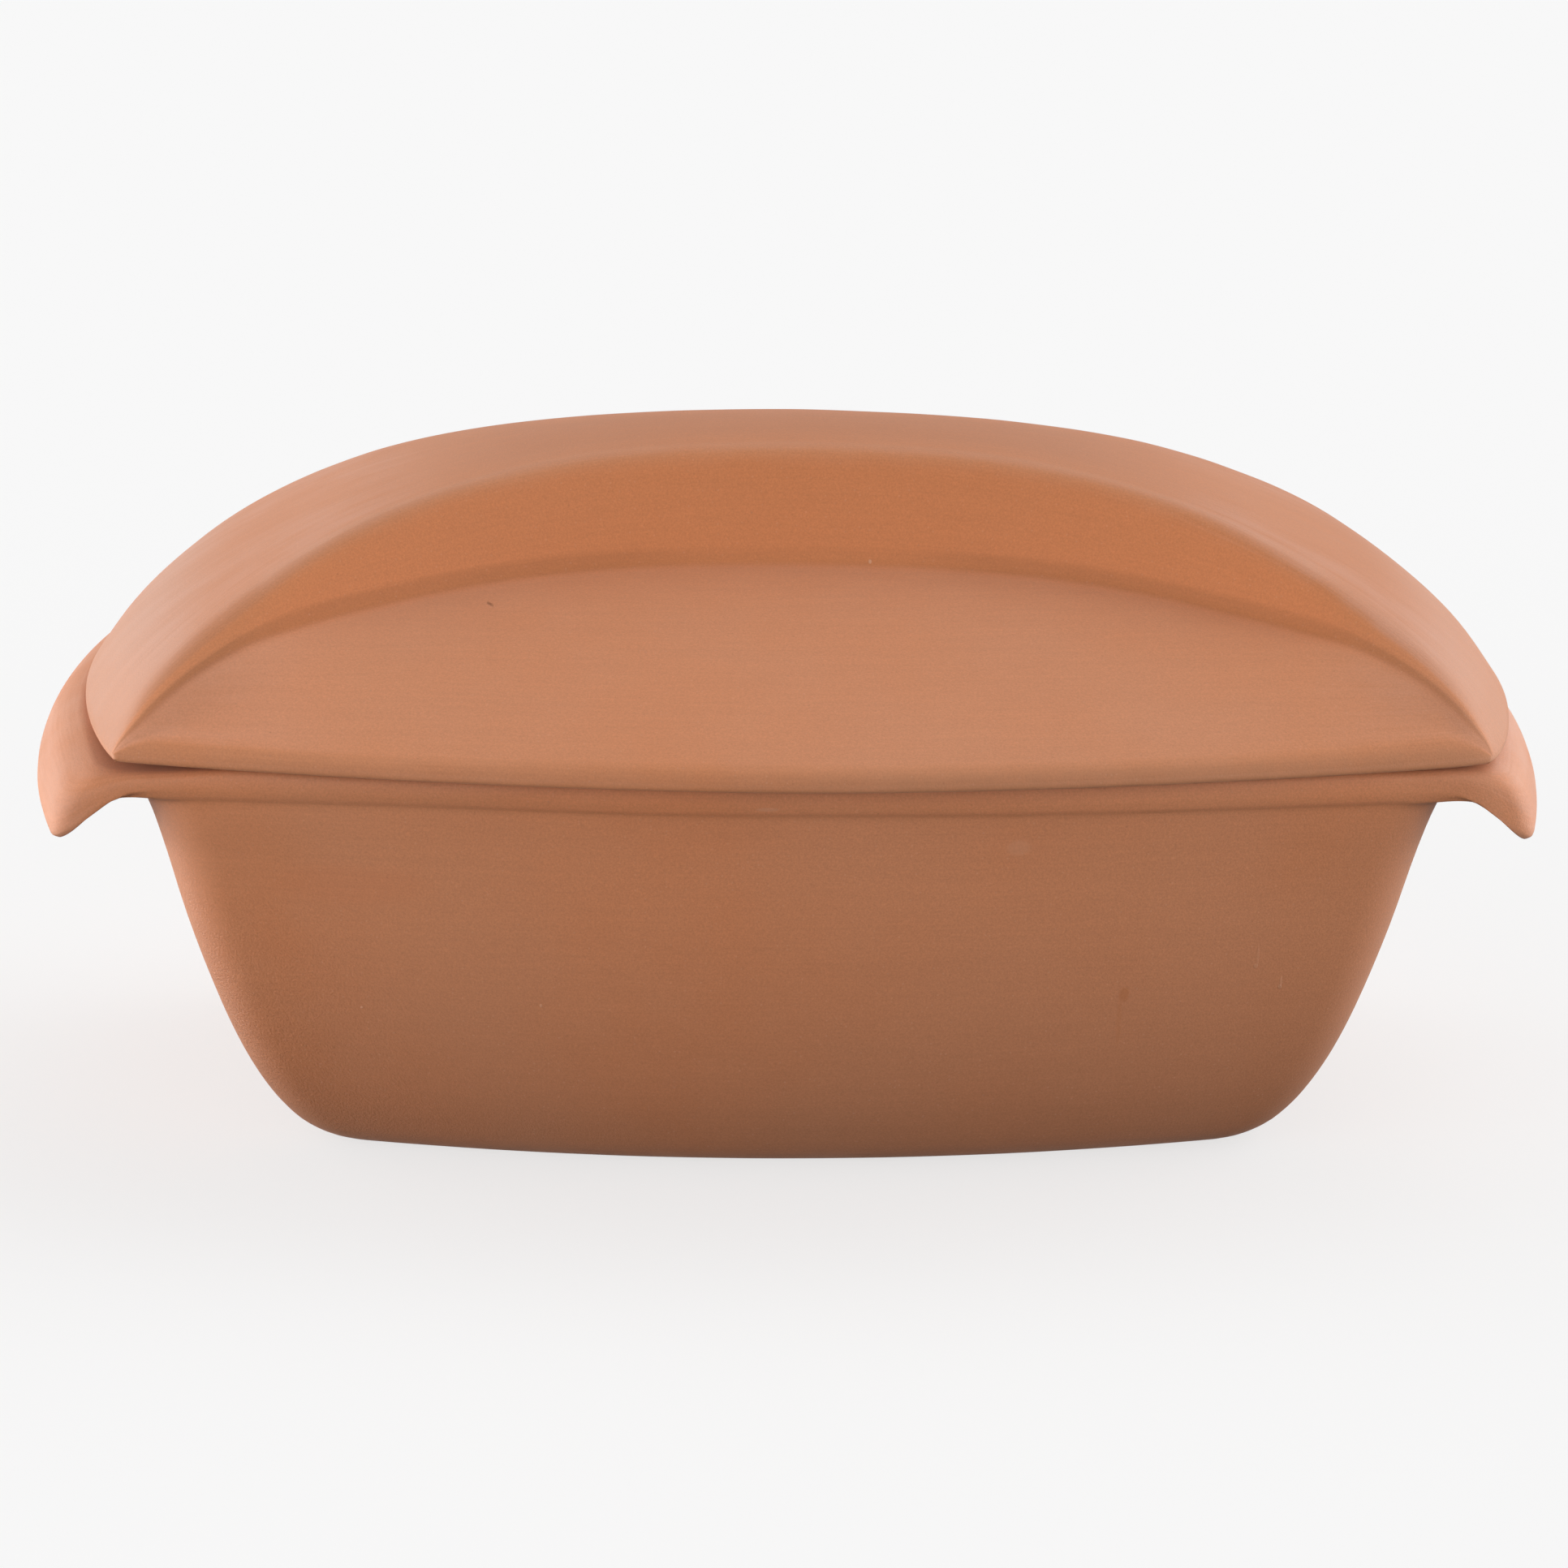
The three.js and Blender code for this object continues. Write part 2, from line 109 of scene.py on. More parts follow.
# half length, height there, half width, height there, end bow, side bow, corner radius
DISH = np.array([
    (114.0, 0.0, 74.5, 0.0, 0.00176, 0.00127, 15.0),
    (121.6, 1.2, 79.7, 1.2, 0.00175, 0.00126, 15.0),
    (127.6, 4.6, 84.6, 4.6, 0.00173, 0.00123, 15.2),
    (133.4, 10.5, 88.8, 10.5, 0.0017, 0.00119, 15.5),
    (138.2, 17.5, 92.3, 17.5, 0.00165, 0.00115, 15.8),
    (142.8, 26.0, 95.2, 26.0, 0.0016, 0.00109, 16.1),
    (147.9, 38.1, 98.1, 38.1, 0.00153, 0.001, 16.6),
    (154.9, 59.4, 101.4, 59.4, 0.0014, 0.00086, 17.5),
    (160.5, 81.0, 103.8, 81.0, 0.00127, 0.00071, 18.5),
    (164.2, 93.0, 105.05, 92.8, 0.0012, FLANGE_BOW, 18.5),
    (165.4, 95.2, 105.4, 94.9, 0.0012, FLANGE_BOW, 17.5),
    (168.5, 96.2, 105.8, 96.0, 0.0013, FLANGE_BOW, 16.0),
    (174.0, 96.4, 106.15, 96.6, LIP_BOW, FLANGE_BOW, 14.0),
    (178.1, 95.8, 106.45, 97.1, LIP_BOW, FLANGE_BOW, 12.0),
    (181.7, 94.3, 106.7, 97.7, LIP_BOW, FLANGE_BOW, 10.0),
    (184.8, 90.9, 106.9, 98.3, LIP_BOW, FLANGE_BOW, 9.0),
    (186.5, 87.5, 107.05, 98.9, LIP_BOW, FLANGE_BOW, 9.0),
    (188.0, 85.3, 107.15, 99.6, LIP_BOW, FLANGE_BOW, 9.0),
    (189.4, 85.6, 107.2, 100.3, LIP_BOW, FLANGE_BOW, 9.0),
    (190.0, 87.4, 107.2, 101.0, LIP_BOW, FLANGE_BOW, 9.0),
    (189.7, 90.7, 107.15, 102.0, LIP_BOW, FLANGE_BOW, 9.0),
    (188.5, 94.7, 106.95, 103.0, LIP_BOW, FLANGE_BOW, 9.0),
    (186.7, 98.3, 106.5, 103.9, LIP_BOW, FLANGE_BOW, 9.0),
    (184.3, 101.2, 105.7, 104.6, LIP_BOW, FLANGE_BOW, 9.0),
    (181.2, 103.5, 104.3, 104.93, LIP_BOW, FLANGE_BOW, 9.5),
    (177.6, 105.0, 102.6, 105.0, LIP_BOW, FLANGE_BOW, 10.0),
    (160.5, 105.0, 99.3, 105.0, 0.0012, FLANGE_BOW, 14.0),
    (158.6, 104.3, 97.7, 104.3, 0.0012, FLANGE_BOW, 13.0),
    (157.8, 102.4, 97.0, 102.4, 0.0012, FLANGE_BOW, 12.5),
    (152.4, 85.0, 95.5, 85.0, 0.00127, 0.0007, 12.5),
    (146.6, 62.0, 92.9, 62.0, 0.0014, 0.00086, 13.0),
    (139.6, 40.5, 89.6, 40.5, 0.00153, 0.001, 14.0),
    (134.6, 29.5, 86.7, 29.5, 0.0016, 0.00109, 15.0),
    (129.4, 21.5, 83.2, 21.5, 0.00165, 0.00115, 16.0),
    (122.3, 14.8, 78.2, 14.8, 0.0017, 0.00119, 17.0),
    (113.5, 10.8, 71.9, 10.8, 0.00173, 0.00123, 17.0),
    (102.0, 9.2, 64.0, 9.2, 0.00176, 0.00127, 17.0),
])
OUTER_ROWS, SEAT_ROWS = 26, (24, 28)          # rows on the outside; rows of the flange's flat top
DISH_SUB, DISH_STEPS = 4, (14, 10, 30)


def quarter(a, end_bow, b, side_bow, r):
    """A quarter of an oblong outline with bowed sides and rounded corners, from the end to the long side."""
    y, x = b - r, a - r
    for _ in range(60):
        l1, l2 = math.hypot(1, 2 * end_bow * y), math.hypot(2 * side_bow * x, 1)
        x = a - end_bow * y * y - r / l1 + r * 2 * side_bow * x / l2
        y = b - side_bow * x * x - r / l2 + r * 2 * end_bow * y / l1
    g1, g2 = math.atan2(2 * end_bow * y, 1), math.atan2(1, 2 * side_bow * x)
    cx, cy = a - end_bow * y * y - r * math.cos(g1), y - r * math.sin(g1)
    t0, t1, t2 = (np.linspace(0, 1, n + 1) for n in DISH_STEPS)
    v = y * t0
    g = g1 + (g2 - g1) * t1
    u = x * (1 - t2)
    return np.vstack([
        np.stack([a - end_bow * v * v, v], 1),
        np.stack([cx + r * np.cos(g), cy + r * np.sin(g)], 1)[1:],
        np.stack([u, b - side_bow * u * u], 1)[1:]])


def dish_ring(row):
    a, z_end, b, z_side, end_bow, side_bow, r = row
    q = quarter(a, end_bow, b, side_bow, r)
    if a > LIP_START + 0.1:
        t = np.clip((q[:, 0] + end_bow * q[:, 1] ** 2 - LIP_START) / (a - LIP_START), 0, 1)
        z = z_side + (z_end - z_side) * t ** 1.7
    else:
        z = np.full(len(q), (z_end + z_side) / 2)
    q = np.column_stack([q, z])
    half = np.vstack([q, q[::-1][1:] * (-1, 1, 1)])
    return np.vstack([half, half[::-1][1:-1] * (1, -1, 1)])


def dish_mesh():
    d = along(DISH[:, :4])
    k = np.arange((len(DISH) - 1) * DISH_SUB + 1) / DISH_SUB
    u = np.interp(k, np.arange(len(DISH)), d)
    rings = [dish_ring(r) for r in np.stack([curve(d, DISH[:, c], u) for c in range(7)], 1)]
    rows = list(k)
    scales = (0.14, 0.3, 0.46, 0.62, 0.78, 0.9)
    rings = ([rings[0] * (s, s, 1) for s in scales] + rings + [rings[-1] * (s, s, 1) for s in reversed(scales)])
    rows = [-1.0] * len(scales) + rows + [float(len(DISH))] * len(scales)
    n = len(rings[0])
    v = np.vstack(rings + [[(0, 0, 0)], [(0, 0, FLOOR_TOP)]])
    f = []
    for i in range(len(rings) - 1):
        for j in range(n):
            q = (j + 1) % n
            f.append((i * n + j, i * n + q, (i + 1) * n + q, (i + 1) * n + j))
    first, last, top = len(v) - 2, len(v) - 1, (len(rings) - 1) * n
    for j in range(n):
        q = (j + 1) % n
        f.append((first, q, j))
        f.append((last, top + j, top + q))
    run = np.r_[0, np.cumsum([np.linalg.norm(b - a, axis=1).mean() for a, b in zip(rings, rings[1:])])]
    run = np.r_[np.repeat(run, n), 0, run[-1]]
    row = np.r_[np.repeat(rows, n), -1, len(DISH)]
    return v, f, row, run


# ------------------------------------------------------------------ lid
SEAT = 105.3                                   # underside of the lid's rim
LID_SHIFT = 2.5
STATION = [0, 0.14, 0.277, 0.4, 0.5, 0.6, 0.674, 0.76, 0.829, 0.89, 0.937, 0.975, 1]
OUTSIDE = dict(
    x=166.6, y=91.8, side_bow=27.8, end_bow=13.6, edge=SEAT + 2.2, lip=2.8, crown=1.6,
    crest_y=[26.9, 27.5, 29.6, 34.6, 40.6, 48.7, 56.0, 65.8, 73.9, 80.3, 84.8, 88.2, 90.2],
    crest_z=[169.6, 168.95, 167.2, 164.0, 160.1, 154.6, 149.3, 142.2, 135.5, 128.3, 121.6, 115.0, SEAT + 2.2],
    panel_z=[142.2, 141.9, 140.8, 139.3, 137.3, 134.9, 133.2, 130.6, 127.2, 122.9, 118.2, 113.5, SEAT + 2.2],
    run=(8.0, 1.6), bulge=0.3, foot=3.2, crest=4.2)
INSIDE = dict(
    x=157.4, y=82.7, side_bow=27.0, end_bow=13.2, edge=SEAT + 0.8, lip=0.0, crown=1.2,
    crest_y=[19.1, 19.7, 21.8, 26.8, 32.8, 40.9, 48.2, 57.8, 65.8, 72.2, 76.2, 78.6, 79.8],
    crest_z=[161.0, 160.4, 158.6, 155.4, 151.4, 145.8, 140.3, 132.9, 125.8, 118.4, 112.8, 108.6, SEAT + 0.8],
    panel_z=[133.8, 133.5, 132.4, 130.9, 128.9, 126.4, 124.6, 121.8, 118.2, 113.8, 110.2, 107.6, SEAT + 0.8],
    run=(9.0, 1.6), bulge=0.3, foot=6.0, crest=5.0)
RIM_OUT = [(0.03, 1.75), (0.02, 1.3), (-0.08, 0.85), (-0.28, 0.45), (-0.6, 0.15), (-1.0, 0.03), (-1.5, 0.0)]
RIM_IN = [(0.75, 0.0), (0.25, 0.25)]
LID_STATIONS, LID_ROWS = 200, (9, 18, 8, 8, 6, 8, 8, 16)


def end_reach(s, y):
    return s["x"] + s["end_bow"] * (1 - (y / s["y"]) ** 2)


def side_reach(s, f):
    y = s["y"]
    for _ in range(80):
        q = ((f * end_reach(s, y) / s["x"]) ** 2 + 0.01) ** 0.85
        y = 0.5 * y + 0.5 * (s["y"] + s["side_bow"] * (1.01 ** 0.85 - q) / (1.01 ** 0.85 - 0.01 ** 0.85))
    return y


def soften(p, w):
    """Rounds the corners of a path by averaging it over a window of half width w along its length."""
    d = along(p)
    r = np.minimum(np.minimum(d, d[-1] - d), w) + 1e-6
    hi, lo = np.minimum(d + r, d[-1]), np.maximum(d - r, 0)
    out = np.empty_like(p)
    for c in range(2):
        total = np.r_[0, np.cumsum(np.diff(d) * (p[1:, c] + p[:-1, c]) / 2)]
        out[:, c] = (np.interp(hi, d, total) - np.interp(lo, d, total)) / (hi - lo)
    return out


def half_section(s, place):
    """Half a cross section from the long edge, over its rolled lip, up the panel and the recess wall, over the crest to the middle of the band."""
    f = abs(place)
    y_c, z_c, z_p = (float(curve(STATION, s[k], f)) for k in ("crest_y", "crest_z", "panel_z"))
    roll = s["lip"] * (1 - 0.55 * float(smoothstep(-0.25, -0.75, place)))
    crest = s["crest"] + 3.2 * float(smoothstep(0.45, 0.8, f))
    y_e = side_reach(s, f)
    y_p = min(y_c + s["run"][0] * (1 - f * f) + s["run"][1] * f * f, y_e - 0.6)
    start = s["edge"] + min(roll, 0.4 * (z_p - s["edge"]))
    lip = np.stack([np.full(20, y_e), np.linspace(s["edge"], start, 21)[:-1]], 1)
    t = np.linspace(0, 1, 121)
    panel = np.stack([y_e + (y_p - y_e) * t, start + (z_p - start) * (t + s["bulge"] * t * (1 - t))], 1)
    t = np.linspace(0, 1, 61)[1:]
    wall = np.stack([y_p + (y_c - y_p) * t, z_p + (z_c - z_p) * t], 1)
    y = y_c * (1 - np.linspace(0, 2, 161)[1:])
    band = np.stack([y, z_c + s["crown"] * (1 - f * f) * (1 - (y / y_c) ** 2)], 1)
    path = np.vstack([lip, panel, wall, band])
    d = along(path)
    d_l, d_p, d_c, d_m = d[20], d[140], d[200], d[280]
    mid = (d_p + d_c) / 2
    w = np.minimum(np.where(d < mid, s["foot"], crest), max(0.9 * (d_c - d_p) + 0.4, 3.0))
    w = np.where(d < (d_l + d_p) / 2, 0.93 * roll + 0.01, w)
    soft = soften(soften(path, 0.75 * w), 0.55 * w)
    marks = [0, min(d_l + 3.6, 0.4 * d_p), max(d_p - 1.9 * s["foot"], 0.55 * d_p), d_p, min(d_p + 1.9 * s["foot"], d_p + 0.42 * (d_c - d_p)),
             max(d_c - 1.9 * crest, d_p + 0.58 * (d_c - d_p)), d_c, min(d_c + 1.9 * crest, d_c + 0.5 * (d_m - d_c)), d_m]
    at = np.concatenate([[0.0]] + [marks[i] + (marks[i + 1] - marks[i]) * np.linspace(0, 1, n + 1)[1:]
                                   for i, n in enumerate(LID_ROWS)])
    out = np.stack([np.interp(at, d, soft[:, 0]), np.interp(at, d, soft[:, 1])], 1)
    out[-1, 0] = 0
    return out


def lid_face(s, fractions):
    grid = []
    for f in fractions:
        half = half_section(s, f)
        full = np.vstack([half * (-1, 1), half[::-1][1:]])
        y, z = full.T
        pull = abs(f) ** 26 * (np.abs(y) / abs(y[0])) ** 11 * np.where((y < 0) & (f < 0), 0.25, 1.0)
        grid.append(np.stack([f * end_reach(s, y) * (1 - 0.0115 * pull), y * (1 - 0.0135 * pull), z], 1))
    return np.array(grid)


def edge_of(part, p):
    """For every point of an end of the lid, the nearest point of its edge, above the rolled lip."""
    k = LID_ROWS[0]
    edge = (np.vstack([part[:, k][::-1], part[0, k:-k], part[:, -1 - k]]) if part[0, 0, 0] < 0
            else np.vstack([part[:, k], part[-1, k:-k], part[:, -1 - k][::-1]]))
    a, d = edge[:-1], np.diff(edge, axis=0)
    size = (d[:, :2] ** 2).sum(1)
    a, d, size = a[size > 1e-10], d[size > 1e-10], size[size > 1e-10]
    foot = np.empty_like(p)
    for k in range(0, len(p), 400):
        q = p[k:k + 400, None, :2]
        t = np.clip(((q - a[:, :2]) * d[:, :2]).sum(2) / size, 0, 1)
        on = a + t[..., None] * d
        best = ((q - on[..., :2]) ** 2).sum(2).argmin(1)
        foot[k:k + 400] = on[np.arange(len(best)), best]
    return foot


def round_ends(grid, fractions):
    """Rounds the ridges near both ends of the lid: the height there is averaged over a few millimetres in plan."""
    rows = np.arange(grid.shape[1])
    above = (rows > LID_ROWS[0]) & (rows < grid.shape[1] - 1 - LID_ROWS[0])
    for pick in (fractions < -0.64, fractions > 0.64):
        part = grid[pick]
        p = part.reshape(-1, 3)
        du, dv = np.gradient(part[..., :2], axis=0), np.gradient(part[..., :2], axis=1)
        area = np.abs(du[..., 0] * dv[..., 1] - du[..., 1] * dv[..., 0])
        area = (area * above + 1e-9).ravel()
        foot = edge_of(part, p)
        away = np.linalg.norm(p[:, :2] - foot[:, :2], axis=1)
        near = away < 14
        every, weight = np.vstack([p, (2 * foot - p)[near]]), np.r_[area, area[near]]
        level = np.empty(len(p))
        for k in range(0, len(p), 400):
            apart = ((p[k:k + 400, None, :2] - every[None, :, :2]) ** 2).sum(2)
            w = weight * np.exp(-apart / (2 * 3.4 ** 2))
            level[k:k + 400] = w @ every[:, 2] / w.sum(1)
        share = smoothstep(0.70, 0.86, np.abs(fractions[pick]))[:, None] * above * smoothstep(0, 1.6, away).reshape(part.shape[:2])
        part[..., 2] += share * (level.reshape(part.shape[:2]) - part[..., 2])
        grid[pick] = part
    share = 0.5 * smoothstep(0.90, 0.96, np.abs(fractions))[1:-1, None, None]
    for _ in range(8):
        near = (grid[2:, 1:-1] + grid[:-2, 1:-1] + grid[1:-1, 2:] + grid[1:-1, :-2]) / 4
        grid[1:-1, 1:-1] += share * (near - grid[1:-1, 1:-1])


def offset_loop(p, off, z):
    t = np.roll(p, -1, 0) - np.roll(p, 1, 0)
    t = t[:, :2] / np.linalg.norm(t[:, :2], axis=1)[:, None]
    return np.column_stack([p[:, 0] + off * t[:, 1], p[:, 1] - off * t[:, 0], np.full(len(p), z)])


def lid_mesh():
    t = np.linspace(-1, 1, LID_STATIONS + 1)
    fractions = 0.45 * t + 0.55 * np.sin(np.pi / 2 * t)
    outer, inner = lid_face(OUTSIDE, fractions), lid_face(INSIDE, fractions)
    n, m = outer.shape[0] - 1, outer.shape[1] - 1
    round_ends(outer, fractions)
    ids = ([(i, 0) for i in range(n)] + [(n, j) for j in range(m)]
           + [(i, m) for i in range(n, 0, -1)] + [(0, j) for j in range(m, 0, -1)])
    rows = np.array(ids)
    outer_loop, inner_loop = outer[rows[:, 0], rows[:, 1]], inner[rows[:, 0], rows[:, 1]]
    rings = ([offset_loop(outer_loop, o, SEAT + z) for o, z in RIM_OUT]
             + [offset_loop(inner_loop, o, SEAT + z) for o, z in RIM_IN])
    count = (n + 1) * (m + 1)
    v = np.vstack([outer.reshape(-1, 3), inner.reshape(-1, 3)] + rings)
    f = []
    for i in range(n):
        for j in range(m):
            a, b = i * (m + 1) + j, (i + 1) * (m + 1) + j
            f.append((a, b, b + 1, a + 1))
            f.append((count + a + 1, count + b + 1, count + b, count + a))
    size = len(ids)
    loops = [[i * (m + 1) + j for i, j in ids]]
    loops += [[2 * count + k * size + q for q in range(size)] for k in range(len(rings))]
    loops.append([count + i * (m + 1) + j for i, j in ids])
    for a, b in zip(loops, loops[1:]):
        for q in range(size):
            r = (q + 1) % size
            f.append((a[r], a[q], b[q], b[r]))
    # row position -1 at the long edge, 0 above its roll, to 7 at the middle of the band, and how far along the lid
    half = np.concatenate([[-1.0]] + [i - 1 + np.linspace(0, 1, k + 1)[1:] for i, k in enumerate(LID_ROWS)])
    row = np.r_[half, half[::-1][1:]]
    row_of = np.tile(row, n + 1)
    far = np.repeat(fractions, m + 1)
    row_rim, far_rim = row[rows[:, 1]], fractions[rows[:, 0]]
    row_all = np.concatenate([row_of, row_of] + [row_rim] * len(rings))
    far_all = np.concatenate([far, far] + [far_rim] * len(rings))
    kind = np.r_[np.zeros(count), np.ones(count), np.full(len(RIM_OUT) * size, 2), np.full(len(RIM_IN) * size, 3)]
    return v, f, row_all, far_all, kind


# ------------------------------------------------------------------ meshes
def make(name, v, f):
    me = bpy.data.meshes.new(name)
    me.from_pydata((np.asarray(v) / 1000).tolist(), [], [tuple(int(i) for i in q) for q in f])
    me.validate()
    me.update()
    me.polygons.foreach_set("use_smooth", [True] * len(me.polygons))
    ob = bpy.data.objects.new(name, me)
    scene.collection.objects.link(ob)
    return ob


def normals_of(ob):
    n = np.zeros(len(ob.data.vertices) * 3)
    ob.data.vertices.foreach_get("normal", n)
    return n.reshape(-1, 3)


def push(ob, v, amount):
    """Moves every vertex along its normal by an amount in millimetres."""
    w = v + normals_of(ob) * amount[:, None]
    ob.data.vertices.foreach_set("co", (w / 1000).ravel())
    ob.data.update()
    return w


def wobble(v, wavelength, seed):
    return np.array([noise.noise(Vector(p) / wavelength + Vector((seed, 0, 0))) for p in v])


def attribute(ob, name, values):
    a = ob.data.attributes.new(name, "FLOAT_VECTOR" if values.ndim == 2 else "FLOAT", "POINT")
    a.data.foreach_set("vector" if values.ndim == 2 else "value", values.astype(np.float32).ravel())


def hump(lo, hi, fade, x):
    """1 between lo and hi, fading to 0 outside."""
    return smoothstep(lo - fade, lo, x) * (1 - smoothstep(hi, hi + fade, x))


v, f, row, run = dish_mesh()
# the flange droops a little towards its four corners, most at the front left one
droop = smoothstep(128, 165, np.abs(v[:, 0])) * (1 - smoothstep(172, 186, np.abs(v[:, 0]))) * smoothstep(50, 84, np.abs(v[:, 1]))
droop *= np.where((v[:, 0] < 0) & (v[:, 1] < 0), 3.0, 1.1)
v[:, 2] -= droop * np.interp(row, (10, 15, 19, 22.5, 26, 27, 28, 29), (0, 0.12, 0.5, 1, 1, 0.85, 0.5, 0))
# and its lower line is not quite even along the front
warp = 0.9 * np.exp(-((v[:, 0] + 92) / 50) ** 2) - 0.5 * smoothstep(-140, -165, v[:, 0]) - 0.9 * smoothstep(135, 168, v[:, 0])
warp *= smoothstep(-20, -60, v[:, 1]) * (1 - smoothstep(176, 186, np.abs(v[:, 0])))
v[:, 2] += warp * np.interp(row, (7.5, 9.5, 15, 18, 21), (0, 1, 1, 0.6, 0))
dish = make("dish_body", v, f)
free = 1 - smoothstep(103.2, 104.6, v[:, 2])
free *= smoothstep(0.2, 3.0, v[:, 2])
v = push(dish, v, free * (0.16 * wobble(v, 62, 3.1) + 0.05 * wobble(v, 17, 8.4)))
attribute(dish, "flow", np.column_stack([v[:, :2] / 1000, run / 1000]))
inner = smoothstep(27.5, 29.5, row)
attribute(dish, "inner", inner)
attribute(dish, "edge", np.maximum.reduce([
    hump(16.5, 20.5, 1.6, row) * smoothstep(172, 182, np.abs(v[:, 0])),
    0.6 * hump(22.0, 24.5, 1.5, row), 0.8 * hump(26.3, 27.6, 0.8, row), 0.7 * hump(0.3, 1.4, 0.8, row)]))
# painted shade: the outside darkens towards the bottom, where less light reaches it; the subtracted terms paint light
# onto the flange along the long sides where the lid shades it, onto the right lip and under the tips of both lips
attribute(dish, "painted_light_and_shade", (1 - smoothstep(8.0, 84.0, v[:, 2])) * (1 - inner)
          - hump(13.0, 21.0, 2.0, row) * (1 - smoothstep(140, 165, np.abs(v[:, 0]))) * (0.15 + 0.35 * smoothstep(-90, -30, v[:, 0]))
          - 0.55 * hump(13.0, 24.0, 1.5, row) * smoothstep(163, 172, v[:, 0])
          - 0.5 * hump(14.0, 19.5, 1.2, row) * smoothstep(172, 182, np.abs(v[:, 0]))
          + 0.25 * (1 - smoothstep(4.0, 30.0, v[:, 2])) * (1 - inner))
# whitish bloom on the lips, which also stands in for painted sheen: the whitish haze that grazing light gives there
attribute(dish, "bloom_and_painted_sheen", hump(16.0, 24.0, 1.5, row) * (1.1 * smoothstep(164, 174, v[:, 0]) + 0.8 * smoothstep(-164, -174, v[:, 0])))
attribute(dish, "pale", 0.5 * hump(15.0, 22.0, 1.5, row) * smoothstep(170, 180, np.abs(v[:, 0])))
attribute(dish, "dry", hump(2.0, 9.5, 1.5, row) * (1 - smoothstep(95, 125, np.abs(v[:, 0]))))
attribute(dish, "strip", np.zeros(len(v)))
attribute(dish, "pebble", smoothstep(-75, -125, v[:, 0]) * (1 - smoothstep(50, 85, v[:, 2])) * (1 - inner))
# painted shade: a saturated orange on top of the left lip that paints out the whitish sheen of grazing light there;
# also rougher
attribute(dish, "painted_bounce_and_shade", (0.3 + 0.3 * smoothstep(21.0, 23.0, row)) * hump(19.5, 26.0, 2.0, row) * smoothstep(-160, -176, v[:, 0]))

v, f, row, far, kind = lid_mesh()
# the vault leans a little to the right
v[:, 2] -= 0.006 * v[:, 0] * smoothstep(SEAT + 0.5, SEAT + 14, v[:, 2]) * (1 - smoothstep(105, 155, np.abs(v[:, 0])))
v[:, 0] += LID_SHIFT
lid = make("lid_body", v, f)
free = smoothstep(SEAT + 1.0, SEAT + 4.0, v[:, 2])
v = push(lid, v, free * (0.16 * wobble(v, 62, 5.7) + 0.05 * wobble(v, 17, 1.9)))
across = np.interp(row, range(-1, 8), (120.0, 115.0, 65.0, 57.0, 49.0, 37.0, 29.0, 21.0, 0.0)) * np.sign(v[:, 1])
level = (115.0 - 1.5 * (v[:, 2] - SEAT - 4.5)) * np.sign(v[:, 1])
across += (level - across) * (1 - smoothstep(1.3, 2.0, row)) * (kind == 0)
attribute(lid, "flow", np.column_stack([v[:, 0] / 1000, kind * 0.4, across / 1000]))
attribute(lid, "inner", ((kind == 1) | (kind == 3)).astype(float))
attribute(lid, "edge", (kind == 0) * np.maximum(
    hump(4.75, 5.25, 0.5, row) * 0.3, 0.3 * (1 - smoothstep(-0.4, 0.05, row))) + 0.3 * (kind == 2))
attribute(lid, "pebble", np.zeros(len(v)))
# painted shade: darker along the foot of the recess, on the panel beside the ridges towards both ends, further up the
# right end, on the sloping ends of the band and along the top of the band; the subtracted terms paint light onto the
# panel above the rim and onto the recess wall
attribute(lid, "painted_light_and_shade", (kind == 0) * (
    hump(0.0, 1.5, 0.4, row) * (-0.28 - 0.25 * smoothstep(-0.5, -0.85, far))
    + 0.6 * hump(1.95, 2.5, 0.3, row) * (0.35 + 0.65 * hump(0.3, 0.8, 0.2, np.abs(far)))
    + np.where(far < 0, 0.55, 0.42) * hump(0.8, 2.6, 0.7, row) * smoothstep(0.70, 0.90, np.abs(far))
    + 0.5 * hump(1.4, 4.0, 0.6, row) * smoothstep(0.86, 0.95, far)
    + smoothstep(4.6, 5.2, row) * (0.36 * smoothstep(0.66, 0.88, np.abs(far)) + 0.22 * smoothstep(-0.80, -0.92, far))
    + 0.3 * smoothstep(5.8, 6.6, row) * (1 - smoothstep(0.35, 0.6, np.abs(far)))
    - 0.14 * hump(2.8, 4.4, 0.5, row) * (1 - 0.5 * smoothstep(-0.3, 0.1, far))))
# whitish bloom near the crest and on the panel above the rim towards both ends; partly painted sheen, the whitish haze
# of grazing light on the band ends
attribute(lid, "bloom_and_painted_sheen", (kind == 0) * np.maximum(
    hump(5.0, 6.0, 0.8, row - np.where(far < 0, 0.6, 0.0)) * hump(0.62, 0.86, 0.16, np.abs(far)),
    hump(0.15, 1.5, 0.5, row) * 0.5 * smoothstep(0.66, 0.90, np.abs(far))))
attribute(lid, "pale", (kind == 0) * hump(0.2, 1.6, 0.5, row) * (0.45 + 0.6 * smoothstep(-0.60, -0.82, far)))
attribute(lid, "dry", (kind == 0) * (1 - smoothstep(1.6, 2.4, row)))
attribute(lid, "strip", (kind == 0) * (1 - smoothstep(-0.85, -0.15, row)) + (kind == 2))
# painted light and shade: a saturated orange in the recess for the warm light bounced into it from the panel, and on
# the top of the band to paint out its whitish sheen; also rougher there
attribute(lid, "painted_bounce_and_shade", (kind == 0) * (
    hump(2.0, 4.5, 0.7, row) * (1 - 0.6 * smoothstep(0.7, 0.95, np.abs(far)))
    + 0.62 * smoothstep(5.3, 6.0, row) * (1 - smoothstep(0.78, 0.92, np.abs(far)))))


